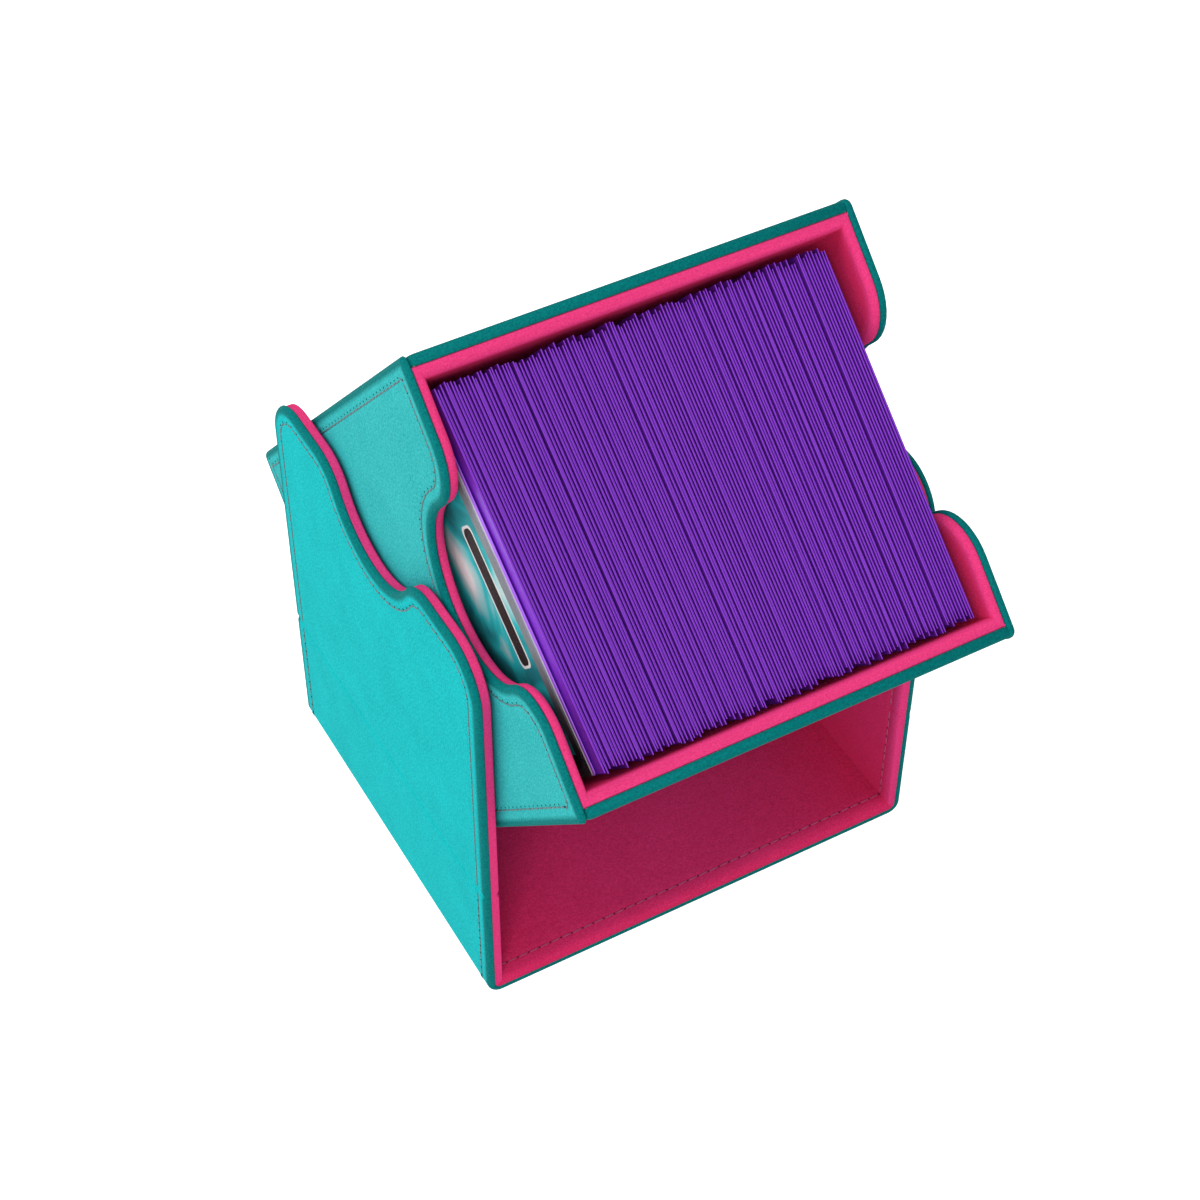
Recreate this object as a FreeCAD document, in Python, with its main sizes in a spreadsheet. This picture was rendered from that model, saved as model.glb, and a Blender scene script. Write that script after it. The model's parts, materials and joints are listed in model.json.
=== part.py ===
import FreeCAD, Part
import os
import re
import Sketcher

# A two-piece deck box: a U-shaped cover that serves as a stand, and a card drawer set tilted in it.
# Frame: origin at the centre of the cover's underside, +X along the card stack, -Y the open front,
# +Z up. Drawer pieces are drawn upright in the drawer's own frame and tilted by their Placement.

# Driving sizes in millimetres and degrees.
SIZES = [
    ("skin", 0.4, "leatherette thickness"),
    ("edge_round", 0.7, "rounding of a wrapped panel's outer edge"),
    ("cover_width", 89.4, "outside width of the cover"),
    ("cover_depth", 79.1, "front to back of the cover"),
    ("cover_board", 0.9, "board inside the cover's panels"),
    ("cover_lining", 1.9, "lining on the cover's side panels"),
    ("floor_lining", 1.9, "padded lining on the cover's floor"),
    ("lining_inset", 0.3, "lining edge set back from the wrapped edge"),
    ("cover_bend", 2.6, "outside radius where the cover turns up from its floor"),
    ("crease_height", 28.2, "height of the fold line on both sides"),
    ("crease_groove", 0.5, "depth of the fold line's groove, with 45 degree sides"),
    ("flap_top", 86.9, "height of a flap's shoulders"),
    ("flap_corner", 10.0, "radius of a flap's top corners"),
    ("dip_depth", 11.45, "depth of the dip between the shoulders"),
    ("shoulder_radius", 9.5, "radius of the shoulder beside the dip"),
    ("shoulder_flat", 8.5, "straight top edge between a flap's corner and its shoulder"),
    ("drawer_play", 0.4, "clearance between the drawer and the cover's lining, each side"),
    ("drawer_tall", 101.5, "drawer's closed end to rim"),
    ("drawer_tilt", 41.9, "forward lean of the drawer from upright, degrees"),
    ("drawer_setback", 39.1, "drawer's lower edge behind the cover's front edge"),
    ("rest_gap", 0.3, "clearance under the drawer's rounded lower edge"),
    ("side_board", 0.8, "board inside the drawer's side panels"),
    ("side_lining", 1.8, "lining on the drawer's side panels"),
    ("side_corner", 1.5, "corner radius of the drawer's side panels"),
    ("side_overhang", 0.25, "side panels standing proud of the other walls"),
    ("end_board", 1.6, "board inside the drawer's front and back walls"),
    ("end_lining", 2.25, "lining on the drawer's front and back walls"),
    ("base_board", 1.8, "board inside the drawer's closed end"),
    ("base_lining", 3.65, "padded lining on the drawer's closed end"),
    ("notch_radius", 15.0, "radius of the thumb notch"),
    ("notch_throat", 0.5, "straight stretch of the notch above its round end"),
    ("notch_shoulder", 9.5, "rounding where the notch meets the rim"),
    ("sleeve_width", 66.0, "width of a card sleeve"),
    ("sleeve_tall", 92.5, "height of a card sleeve"),
    ("sleeved_card", 0.5, "thickness of one sleeved card"),
    ("sleeve_play", 1.2, "clearance between a sleeve and the front and back linings"),
    ("card_space", 0.084, "gap between neighbouring cards of the deck"),
    ("card_scatter", 0.8, "how far a card may sit to either side"),
    ("card_lift", 0.7, "how far a card may stand above the lowest"),
    ("deck_gap", 0.3, "face card's sleeve to the first card of the deck"),
    ("deck_spare", 2.3, "least room left at the right end of the deck"),
    ("face_gap", 1.7, "left lining to the face card's sleeve"),
    ("clear_film", 0.1, "clear front of the face card's sleeve"),
    ("back_film", 0.15, "coloured back of the face card's sleeve"),
    ("face_card", 0.32, "thickness of the face card"),
    ("face_margin", 1.5, "sleeve beyond the face card's side edges"),
    ("face_headroom", 1.5, "sleeve above the face card"),
    ("face_sleeve_tall", 89.9, "height of the face card's closer-cut sleeve"),
]
GOLDEN_STEP = 0.618034

doc = FreeCAD.newDocument("DeckBox")
sheet = doc.addObject("Spreadsheet::Sheet", "Sizes")
for row, (alias, value, meaning) in enumerate(SIZES, start=1):
    sheet.set(f"A{row}", meaning)
    sheet.set(f"B{row}", str(value))
    sheet.setAlias(f"B{row}", alias)
doc.recompute()
ALIASES = {alias for alias, value, meaning in SIZES}

# Lengths worked out from the driving sizes, written as expressions.
COVER_TEAL = "(skin + cover_board)"
FLOOR_TOP = "(skin + cover_board + floor_lining)"
SIDE_TEAL = "(skin + side_board)"
END_TEAL = "(skin + end_board)"
BASE_TEAL = "(skin + base_board)"
FRONT_FACE = "side_overhang"
BASE_FACE = "side_overhang"
INNER_FRONT = f"({FRONT_FACE} + {END_TEAL} + end_lining)"
DRAWER_SPAN = f"(sleeve_width + 2 * (sleeve_play + {INNER_FRONT}))"
BACK_FACE = f"({DRAWER_SPAN} - side_overhang)"
BASE_SEAT = f"({BASE_FACE} + {BASE_TEAL})"
BASE_TOP = f"({BASE_SEAT} + base_lining)"
DRAWER_HALF = f"(cover_width / 2 - {COVER_TEAL} - cover_lining - drawer_play)"
INNER_HALF_WIDTH = f"({DRAWER_HALF} - {SIDE_TEAL} - side_lining)"


def cells(text):
    """Turn an expression in plain aliases into one that reads the sheet."""
    def reference(match):
        word = match.group()
        return f"Sizes.{word}" if word in ALIASES else word
    return re.sub(r"[a-z_]\w*", reference, text)


def number(text):
    """Present value of an expression."""
    return float(sheet.evalExpression(cells(text)))


def new_body(label):
    body = doc.addObject("PartDesign::Body", label)
    body.Label = label
    return body


def new_sketch(body, role, offset="0"):
    """Sketch on one of the body's origin planes, moved along the plane's normal."""
    sketch = body.newObject("Sketcher::SketchObject", f"{body.Name}_sketch")
    plane = next(feature for feature in body.Origin.OriginFeatures if feature.Role == role)
    sketch.AttachmentSupport = [(plane, "")]
    sketch.MapMode = "FlatFace"
    if offset != "0":
        sketch.setExpression("AttachmentOffset.Base.z", cells(offset))
    return sketch


def place_vertex(sketch, edge, end, x, y):
    """Bind one end of an edge to a pair of expressions."""
    for axis_edge, kind, text in ((-2, "DistanceX", x), (-1, "DistanceY", y)):
        if text == "0":
            sketch.addConstraint(Sketcher.Constraint("PointOnObject", edge, end, axis_edge))
        else:
            datum = sketch.addConstraint(Sketcher.Constraint(kind, -1, 1, edge, end, number(text)))
            sketch.setExpression(f"Constraints[{datum}]", cells(text))


def arc_between(start, end, radius, turn):
    """Short arc from start to end, turning left for turn +1 and right for turn -1."""
    chord = end - start
    middle = (start + end) * 0.5
    left = FreeCAD.Vector(-chord.y, chord.x, 0).normalize()
    rise = max(radius ** 2 - (chord.Length / 2) ** 2, 0) ** 0.5
    crown = middle + left * ((rise - radius) * turn)
    return Part.Arc(start, crown, end)


def draw(sketch, path):
    """Closed outline: each entry is the end of a line (x, y) or of an arc (x, y, radius, turn)."""
    points = [FreeCAD.Vector(number(entry[0]), number(entry[1]), 0) for entry in path]
    starts = []
    ends = []
    for index, entry in enumerate(path):
        start = points[index - 1]
        end = points[index]
        # A sketch stores every arc anticlockwise, so an arc that turns right has its ends swapped.
        swapped = len(entry) == 4 and entry[3] < 0
        starts.append(2 if swapped else 1)
        ends.append(1 if swapped else 2)
        if len(entry) == 2:
            sketch.addGeometry(Part.LineSegment(start, end))
        else:
            sketch.addGeometry(arc_between(start, end, number(entry[2]), entry[3]))
    for index, entry in enumerate(path):
        follower = (index + 1) % len(path)
        sketch.addConstraint(
            Sketcher.Constraint("Coincident", index, ends[index], follower, starts[follower]))
        place_vertex(sketch, index, ends[index], entry[0], entry[1])
        if len(entry) == 4:
            datum = sketch.addConstraint(Sketcher.Constraint("Radius", index, number(entry[2])))
            sketch.setExpression(f"Constraints[{datum}]", cells(entry[2]))


def rectangle(x_low, x_high, y_low, y_high):
    return [(x_high, y_low), (x_high, y_high), (x_low, y_high), (x_low, y_low)]


def pad(body, sketch, length, backward=False, symmetric=False):
    feature = body.newObject("PartDesign::Pad", f"{body.Name}_pad")
    feature.Profile = sketch
    feature.setExpression("Length", cells(length))
    feature.Reversed = backward
    if symmetric:
        feature.SideType = "Symmetric"
    doc.recompute()


def pocket(body, sketch, depth, backward=False, symmetric=False):
    """Cut a recess and make sure that it removed material."""
    before = body.Shape.Volume
    feature = body.newObject("PartDesign::Pocket", f"{body.Name}_pocket")
    feature.Profile = sketch
    feature.setExpression("Length", cells(depth))
    feature.Reversed = backward
    if symmetric:
        feature.SideType = "Symmetric"
    doc.recompute()
    if body.Shape.Volume >= before:
        raise RuntimeError(f"{body.Label}: the recess cut nothing")


def round_edges(body, chosen, wall):
    """Round the tip's edges for which chosen(middle, edge) holds, within the panel's wall."""
    tip = body.Tip
    names = []
    for index, edge in enumerate(tip.Shape.Edges, start=1):
        middle = edge.valueAt((edge.FirstParameter + edge.LastParameter) / 2)
        if chosen(middle, edge):
            names.append(f"Edge{index}")
    feature = body.newObject("PartDesign::Fillet", f"{body.Name}_round")
    feature.Base = (tip, names)
    feature.setExpression("Radius", cells(f"min(edge_round; 0.8 * {wall})"))
    doc.recompute()


def near(value, expression):
    return abs(value - number(expression)) < 1e-4


def side_sheet(label, path, face, thickness, hand):
    """Sheet parallel to YZ with its outer face at distance face, on the left (-1) or right (+1)."""
    body = new_body(label)
    sketch = new_sketch(body, "YZ_Plane", f"{hand} * {face}")
    draw(sketch, path)
    pad(body, sketch, thickness, backward=hand > 0)
    return body


def recess_side(body, path, face, depth, hand):
    """Room for a board, cut into a side sheet from its inner face."""
    sketch = new_sketch(body, "YZ_Plane", f"{hand} * {face}")
    draw(sketch, path)
    pocket(body, sketch, depth, backward=hand > 0)


def block(label, x_low, x_high, y_low, y_high, z_low, z_high):
    """Plain rectangular piece with its edges along the frame."""
    box = doc.addObject("Part::Box", label)
    box.Label = label
    for length, low, high in (("Length", x_low, x_high), ("Width", y_low, y_high), ("Height", z_low, z_high)):
        box.setExpression(length, cells(f"{high} - ({low})"))
    for axis, low in (("x", x_low), ("y", y_low), ("z", z_low)):
        box.setExpression(f"Placement.Base.{axis}", cells(low))
    return box


def stand_in_drawer(piece, x="0", y="0", z="0"):
    """Tilt a piece with the drawer; x, y and z are its place in the upright drawer."""
    lean = "drawer_tilt"
    foot_y = "(drawer_setback - cover_depth / 2)"
    foot_z = f"({FLOOR_TOP} + rest_gap + side_corner * (1 - sin({lean}) - cos({lean})))"
    piece.Placement = FreeCAD.Placement(
        FreeCAD.Vector(0, 0, 0), FreeCAD.Rotation(FreeCAD.Vector(1, 0, 0), number(lean)))
    piece.setExpression("Placement.Rotation.Angle", cells(lean))
    piece.setExpression("Placement.Base.x", cells(x))
    piece.setExpression("Placement.Base.y", cells(f"{foot_y} + ({y}) * cos({lean}) - ({z}) * sin({lean})"))
    piece.setExpression("Placement.Base.z", cells(f"{foot_z} + ({y}) * sin({lean}) + ({z}) * cos({lean})"))


def drawer_block(label, x_low, x_high, y_low, y_high, z_low, z_high):
    box = block(label, x_low, x_high, y_low, y_high, z_low, z_high)
    stand_in_drawer(box, x_low, y_low, z_low)
    return box


# Cover: the leatherette wrap of the floor and lower sides, one bent sheet with board recesses.
HALF_WIDTH = "cover_width / 2"
HALF_DEPTH = "cover_depth / 2"
GROOVE_FOOT = "(crease_height - crease_groove)"
BOARD_DEPTH = f"({HALF_DEPTH} - skin)"
LOWER_BOARD_TOP = f"({GROOVE_FOOT} - skin)"


def cover_profile():
    inner = f"({HALF_WIDTH} - {COVER_TEAL})"
    groove = f"({HALF_WIDTH} - crease_groove)"
    return [
        (f"-{HALF_WIDTH}", "cover_bend"),
        (f"cover_bend - {HALF_WIDTH}", "0", "cover_bend", 1),
        (f"{HALF_WIDTH} - cover_bend", "0"),
        (HALF_WIDTH, "cover_bend", "cover_bend", 1),
        (HALF_WIDTH, GROOVE_FOOT),
        (groove, "crease_height"),
        (inner, "crease_height"),
        (inner, COVER_TEAL),
        (f"-{inner}", COVER_TEAL),
        (f"-{inner}", "crease_height"),
        (f"-{groove}", "crease_height"),
        (f"-{HALF_WIDTH}", GROOVE_FOOT),
    ]


def cover_outer_edge(middle, edge):
    at_end = near(abs(middle.y), HALF_DEPTH)
    outside = near(abs(middle.x), HALF_WIDTH) or near(middle.z, "0") or isinstance(edge.Curve, Part.Circle)
    return at_end and outside


cover_skin = new_body("cover_skin")
profile = new_sketch(cover_skin, "XZ_Plane")
draw(profile, cover_profile())
pad(cover_skin, profile, "cover_depth", symmetric=True)
round_edges(cover_skin, cover_outer_edge, COVER_TEAL)
floor_room = new_sketch(cover_skin, "XY_Plane", COVER_TEAL)
FLOOR_HALF = f"({HALF_WIDTH} - cover_bend)"
draw(floor_room, rectangle(f"-{FLOOR_HALF}", FLOOR_HALF, f"-{BOARD_DEPTH}", BOARD_DEPTH))
pocket(cover_skin, floor_room, "cover_board")
lower_board = rectangle(f"-{BOARD_DEPTH}", BOARD_DEPTH, "cover_bend", LOWER_BOARD_TOP)
INNER_COVER = f"({HALF_WIDTH} - {COVER_TEAL})"
for hand in (-1, 1):
    recess_side(cover_skin, lower_board, INNER_COVER, "cover_board", hand)

block("cover_floor_board", f"-{FLOOR_HALF}", FLOOR_HALF, f"-{BOARD_DEPTH}", BOARD_DEPTH, "skin", COVER_TEAL)
LINING_DEPTH = f"({HALF_DEPTH} - lining_inset)"
block("cover_floor_lining", f"-{INNER_COVER}", INNER_COVER, f"-{LINING_DEPTH}", LINING_DEPTH,
      COVER_TEAL, FLOOR_TOP)


# Flaps: the waved upper sides, which fold outward at the crease.
def flap_path(inset, bottom):
    """Wavy flap outline, drawn in by inset on its free edges, in YZ."""
    half = f"({HALF_DEPTH} - {inset})"
    top = f"(flap_top - {inset})"
    corner = f"(flap_corner - {inset})"
    shoulder = f"(shoulder_radius - {inset})"
    shoulder_y = f"({HALF_DEPTH} - flap_corner - shoulder_flat)"
    reach = f"(({shoulder_y} * {shoulder_y} / dip_depth + dip_depth) / 2)"
    hollow = f"({reach} - shoulder_radius + {inset})"
    turn_y = f"({shoulder_y} * (1 - {shoulder} / {reach}))"
    turn_z = f"(flap_top - shoulder_radius + ({reach} - dip_depth) * {shoulder} / {reach})"
    return [
        (half, bottom),
        (half, f"{top} - {corner}"),
        (f"{half} - {corner}", top, corner, 1),
        (shoulder_y, top),
        (turn_y, turn_z, shoulder, 1),
        ("0", f"{top} - dip_depth", hollow, -1),
        (f"-{turn_y}", turn_z, hollow, -1),
        (f"-{shoulder_y}", top, shoulder, 1),
        (f"{corner} - {half}", top),
        (f"-{half}", f"{top} - {corner}", corner, 1),
        (f"-{half}", bottom),
    ]


def make_side(name, hand):
    """Lower side pieces of the cover and the flap above them, on one side."""
    board_face = f"({HALF_WIDTH} - skin)"
    lining_face = INNER_COVER
    board_path = flap_path("skin", "(crease_height + crease_groove + skin)")
    side_sheet(f"cover_{name}_board", lower_board, board_face, "cover_board", hand)
    lower_lining = rectangle(f"-{LINING_DEPTH}", LINING_DEPTH, FLOOR_TOP, "crease_height")
    side_sheet(f"cover_{name}_lining", lower_lining, lining_face, "cover_lining", hand)

    skin_body = side_sheet(f"{name}_flap_skin", flap_path("0", "crease_height"), HALF_WIDTH, COVER_TEAL, hand)

    def free_edge(middle, edge):
        return near(abs(middle.x), HALF_WIDTH) and not near(middle.z, "crease_height")

    round_edges(skin_body, free_edge, COVER_TEAL)
    groove = new_sketch(skin_body, "XZ_Plane")
    draw(groove, [
        (f"{hand} * ({HALF_WIDTH} - crease_groove)", "crease_height"),
        (f"{hand} * {HALF_WIDTH}", "crease_height + crease_groove"),
        (f"{hand} * {HALF_WIDTH}", "crease_height"),
    ])
    pocket(skin_body, groove, "cover_depth", symmetric=True)
    recess_side(skin_body, board_path, lining_face, "cover_board", hand)
    side_sheet(f"{name}_flap_board", board_path, board_face, "cover_board", hand)
    lining_path = flap_path("lining_inset", "crease_height")
    side_sheet(f"{name}_flap_lining", lining_path, lining_face, "cover_lining", hand)


for name, hand in (("left", -1), ("right", 1)):
    make_side(name, hand)


# Drawer: two notched side panels, front and back walls between them, and the closed end.
def notch_ends(inset):
    """Thumb notch in a side panel's rim, from its back shoulder to its front one."""
    middle = f"{DRAWER_SPAN} / 2"
    shoulder_reach = "(notch_radius + notch_shoulder)"
    throat = f"(notch_radius + {inset})"
    shoulder = f"(notch_shoulder - {inset})"
    rim = f"drawer_tall - {inset}"
    throat_top = "drawer_tall - notch_shoulder"
    throat_foot = f"{throat_top} - notch_throat"
    return [
        (f"{middle} + {shoulder_reach}", rim),
        (f"{middle} + {throat}", throat_top, shoulder, 1),
        (f"{middle} + {throat}", throat_foot),
        (middle, f"{throat_foot} - {throat}", throat, -1),
        (f"{middle} - {throat}", throat_foot, throat, -1),
        (f"{middle} - {throat}", throat_top),
        (f"{middle} - {shoulder_reach}", rim, shoulder, 1),
    ]


def rounded_side_path(inset):
    """Side panel outline with rounded corners, drawn in by inset all round."""
    front = inset
    back = f"{DRAWER_SPAN} - {inset}"
    foot = inset
    rim = f"drawer_tall - {inset}"
    corner = f"(side_corner - {inset})"
    return [
        (f"{back} - {corner}", foot),
        (back, f"{foot} + {corner}", corner, 1),
        (back, f"{rim} - {corner}"),
        (f"{back} - {corner}", rim, corner, 1),
        *notch_ends(inset),
        (f"{front} + {corner}", rim),
        (front, f"{rim} - {corner}", corner, 1),
        (front, f"{foot} + {corner}"),
        (f"{front} + {corner}", foot, corner, 1),
    ]


def side_lining_path():
    """Square-cornered lining between the front and back walls, standing on the closed end."""
    front = f"({FRONT_FACE} + {END_TEAL})"
    back = f"({BACK_FACE} - {END_TEAL})"
    rim = "drawer_tall - lining_inset"
    return [(back, BASE_SEAT), (back, rim), *notch_ends("lining_inset"), (front, rim), (front, BASE_SEAT)]


def make_drawer_side(name, hand):
    outer = DRAWER_HALF
    inner = f"({DRAWER_HALF} - {SIDE_TEAL})"
    board_path = rounded_side_path("skin")
    skin_body = side_sheet(f"drawer_{name}_skin", rounded_side_path("0"), outer, SIDE_TEAL, hand)
    round_edges(skin_body, lambda middle, edge: near(abs(middle.x), outer), SIDE_TEAL)
    recess_side(skin_body, board_path, inner, "side_board", hand)
    board = side_sheet(f"drawer_{name}_board", board_path, f"({outer} - skin)", "side_board", hand)
    lining = side_sheet(f"drawer_{name}_lining", side_lining_path(), inner, "side_lining", hand)
    for piece in (skin_body, board, lining):
        stand_in_drawer(piece)


def wrapped_slab(label, spans, recess, depth, outer_edge, wall):
    """Leatherette round a flat board: a slab (spans), hollowed from above (recess) by depth."""
    x_low, x_high, y_low, y_high, z_low, z_high = spans
    body = new_body(label)
    outline = new_sketch(body, "XY_Plane", z_low)
    draw(outline, rectangle(x_low, x_high, y_low, y_high))
    pad(body, outline, f"{z_high} - ({z_low})")
    if outer_edge:
        round_edges(body, outer_edge, wall)
    x_low, x_high, y_low, y_high, z_high = recess
    room = new_sketch(body, "XY_Plane", z_high)
    draw(room, rectangle(x_low, x_high, y_low, y_high))
    pocket(body, room, depth)
    stand_in_drawer(body)


def make_drawer_end(name, outer, inward):
    """Front or back wall, whose outer face is at outer and whose lining lies inward (+1 or -1) of it."""
    half = f"({DRAWER_HALF} - {SIDE_TEAL})"
    board_half = f"({half} - skin)"
    board_outer = f"({outer} + {inward} * skin)"
    seam = f"({outer} + {inward} * {END_TEAL})"
    lining_inner = f"({seam} + {inward} * end_lining)"
    wall = sorted((outer, seam), key=number)
    core = sorted((board_outer, seam), key=number)
    lining = sorted((seam, lining_inner), key=number)
    board_foot = f"({BASE_FACE} + skin)"
    board_top = "(drawer_tall - skin)"
    wrapped_slab(
        f"drawer_{name}_skin",
        (f"-{half}", half, *wall, BASE_FACE, "drawer_tall"),
        (f"-{board_half}", board_half, *core, board_top),
        f"{board_top} - {board_foot}",
        lambda middle, edge: near(middle.y, outer),
        END_TEAL)
    drawer_block(f"drawer_{name}_board", f"-{board_half}", board_half, *core, board_foot, board_top)
    drawer_block(f"drawer_{name}_lining", f"-{INNER_HALF_WIDTH}", INNER_HALF_WIDTH, *lining,
                 BASE_SEAT, "(drawer_tall - lining_inset)")


def make_drawer_base():
    half = f"({DRAWER_HALF} - {SIDE_TEAL})"
    front = f"({FRONT_FACE} + {END_TEAL})"
    back = f"({BACK_FACE} - {END_TEAL})"
    board = (f"(skin - {half})", f"({half} - skin)", f"({front} + skin)", f"({back} - skin)")
    wrapped_slab(
        "drawer_base_skin",
        (f"-{half}", half, front, back, BASE_FACE, BASE_SEAT),
        (*board, BASE_SEAT),
        "base_board",
        None,
        BASE_TEAL)
    drawer_block("drawer_base_board", *board, f"({BASE_FACE} + skin)", BASE_SEAT)
    drawer_block("drawer_base_lining", f"-{INNER_HALF_WIDTH}", INNER_HALF_WIDTH,
                 INNER_FRONT, f"({DRAWER_SPAN} - {INNER_FRONT})", BASE_SEAT, BASE_TOP)


for name, hand in (("left", -1), ("right", 1)):
    make_drawer_side(name, hand)
make_drawer_end("front", FRONT_FACE, 1)
make_drawer_end("back", BACK_FACE, -1)
make_drawer_base()


# Face card: the card nearest the left notch, in a sleeve with a clear front and a coloured back.
SLEEVE_FRONT = f"({INNER_FRONT} + sleeve_play)"
SLEEVE_BACK = f"({SLEEVE_FRONT} + sleeve_width)"
FACE_TOP = f"({BASE_TOP} + face_sleeve_tall)"
FILM_X = f"(face_gap - {INNER_HALF_WIDTH})"
FACE_X = f"({FILM_X} + clear_film)"
BACK_X = f"({FACE_X} + face_card)"
FACE_END = f"({BACK_X} + back_film)"
drawer_block("face_sleeve_front", FILM_X, FACE_X, SLEEVE_FRONT, SLEEVE_BACK, BASE_TOP, FACE_TOP)
drawer_block("face_card", FACE_X, BACK_X, f"({SLEEVE_FRONT} + face_margin)", f"({SLEEVE_BACK} - face_margin)",
             f"({BASE_TOP} + face_margin)", f"({FACE_TOP} - face_headroom)")
drawer_block("face_sleeve_back", BACK_X, FACE_END, SLEEVE_FRONT, SLEEVE_BACK, BASE_TOP, FACE_TOP)


# Deck: loose sleeved cards that stand on the closed end, each a little off its neighbour.
def spread(index):
    """Even, unrepeating spread of values from 0 to 1."""
    return (index * GOLDEN_STEP) % 1


CARD_PITCH = "(sleeved_card + card_space)"
DECK_START = f"({FACE_END} + deck_gap)"
DECK_ROOM = f"({INNER_HALF_WIDTH} - deck_spare - {DECK_START})"
cards_in_deck = int(number(f"({DECK_ROOM} + card_space) / {CARD_PITCH}"))
cards = []
for index in range(cards_in_deck):
    side_step = f"({2 * spread(index) - 1:.4f} * card_scatter)"
    raised = f"({spread(index + cards_in_deck):.4f} * card_lift)"
    x_low = f"({DECK_START} + {index} * {CARD_PITCH})"
    y_low = f"({SLEEVE_FRONT} + {side_step})"
    z_low = f"({BASE_TOP} + {raised})"
    cards.append(block(f"sleeved_card_{index}", x_low, f"({x_low} + sleeved_card)",
                       y_low, f"({y_low} + sleeve_width)", z_low, f"({z_low} + sleeve_tall)"))
deck = doc.addObject("Part::Compound", "sleeved_cards")
deck.Label = "sleeved_cards"
deck.Links = cards
stand_in_drawer(deck)

doc.recompute()

# Every object is sound before anything is written.
failed = [item.Name for item in doc.Objects if {"Invalid", "Error"} & set(item.State)]
if failed:
    raise RuntimeError(f"objects that failed: {failed}")
inner_boxes = set(card.Name for card in cards)
nodes = [item for item in doc.Objects
         if item.TypeId in ("PartDesign::Body", "Part::Box", "Part::Compound") and item.Name not in inner_boxes]
for node in nodes:
    if node.Shape.isNull() or not node.Shape.isValid():
        raise RuntimeError(f"{node.Label}: unsound shape")
os.makedirs("parts", exist_ok=True)
for node in nodes:
    node.Shape.exportStep(os.path.join("parts", f"{node.Label}.step"))
    print(f"{node.Label}: {len(node.Shape.Solids)} solids, {node.Shape.Volume:.1f} mm3")
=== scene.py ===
import json
import math
import bmesh
import bpy
from mathutils import Matrix, Quaternion, Vector
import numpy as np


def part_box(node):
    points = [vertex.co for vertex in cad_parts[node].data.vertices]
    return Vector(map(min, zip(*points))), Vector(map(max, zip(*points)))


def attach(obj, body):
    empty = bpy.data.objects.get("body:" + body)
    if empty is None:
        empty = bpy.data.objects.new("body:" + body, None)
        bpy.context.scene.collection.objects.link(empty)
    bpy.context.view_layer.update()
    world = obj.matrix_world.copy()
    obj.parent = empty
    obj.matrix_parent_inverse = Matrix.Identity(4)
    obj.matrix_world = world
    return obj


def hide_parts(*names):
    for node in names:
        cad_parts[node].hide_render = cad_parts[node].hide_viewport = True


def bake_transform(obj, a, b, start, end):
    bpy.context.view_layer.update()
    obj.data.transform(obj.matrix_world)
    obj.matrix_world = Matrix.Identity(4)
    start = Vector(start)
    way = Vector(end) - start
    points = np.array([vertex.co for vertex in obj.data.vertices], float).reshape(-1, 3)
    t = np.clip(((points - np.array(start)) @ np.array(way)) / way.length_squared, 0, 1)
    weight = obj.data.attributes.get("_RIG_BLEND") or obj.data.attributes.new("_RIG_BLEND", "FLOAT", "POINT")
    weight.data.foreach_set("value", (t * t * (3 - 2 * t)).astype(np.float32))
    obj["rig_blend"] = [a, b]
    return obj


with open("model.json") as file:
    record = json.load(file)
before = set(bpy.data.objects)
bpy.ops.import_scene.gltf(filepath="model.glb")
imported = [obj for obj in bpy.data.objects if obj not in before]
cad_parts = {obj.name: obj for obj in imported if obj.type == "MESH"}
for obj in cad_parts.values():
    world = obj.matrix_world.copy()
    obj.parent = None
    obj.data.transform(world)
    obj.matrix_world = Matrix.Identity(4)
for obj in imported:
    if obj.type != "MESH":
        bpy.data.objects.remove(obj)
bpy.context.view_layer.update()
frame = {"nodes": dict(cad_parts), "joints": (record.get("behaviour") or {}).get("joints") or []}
mm = 0.001


# The set: a long lens from the front left, well above the box, looking down at it on a white floor.
# Soft lamps stand at the left, high above and in front of it, and an even white sky fills the shadows.
def add_object(name, data):
    """New object in the scene, at the origin."""
    item = bpy.data.objects.new(name, data)
    bpy.context.scene.collection.objects.link(item)
    return item


camera_data = bpy.data.cameras.new("camera")
camera_data.sensor_width = 36.0
camera_data.lens = 77.86
camera = add_object("camera", camera_data)
camera.location = (-161.95 * mm, -288.43 * mm, 391.46 * mm)
aim = Vector((-1.85 * mm, -3.69 * mm, 49.81 * mm))
camera.rotation_mode = "QUATERNION"
level_view = (aim - camera.location).to_track_quat("-Z", "Y")
camera_roll = math.radians(0.16)
camera.rotation_quaternion = level_view @ Quaternion((0, 0, 1), camera_roll)
bpy.context.scene.camera = camera
bpy.context.scene.view_settings.view_transform = "Standard"


def add_lamp(name, place, size, power):
    """Square soft lamp that faces the box."""
    data = bpy.data.lights.new(name, "AREA")
    data.size = size
    data.energy = power
    lamp = add_object(name, data)
    lamp.location = place
    lamp.rotation_mode = "QUATERNION"
    lamp.rotation_quaternion = (aim - Vector(place)).to_track_quat("-Z", "Y")


add_lamp("left_lamp", (-0.50, 0.34, 0.32), 0.34, 1.1)
add_lamp("high_lamp", (-0.44, 0.04, 0.76), 0.36, 1.6)
add_lamp("front_lamp", (-0.42, -0.70, 0.72), 0.36, 4.2)


def feed(tree, socket, value):
    """Link an input to another node's socket, or set it to a plain value."""
    if isinstance(value, bpy.types.NodeSocket):
        tree.links.new(value, socket)
    else:
        socket.default_value = value


def math_step(tree, operation, *values):
    """Result of a Math node, each of its values a number or a socket."""
    step = tree.nodes.new("ShaderNodeMath")
    step.operation = operation
    for socket, value in zip(step.inputs, values):
        feed(tree, socket, value)
    return step.outputs[0]


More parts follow.
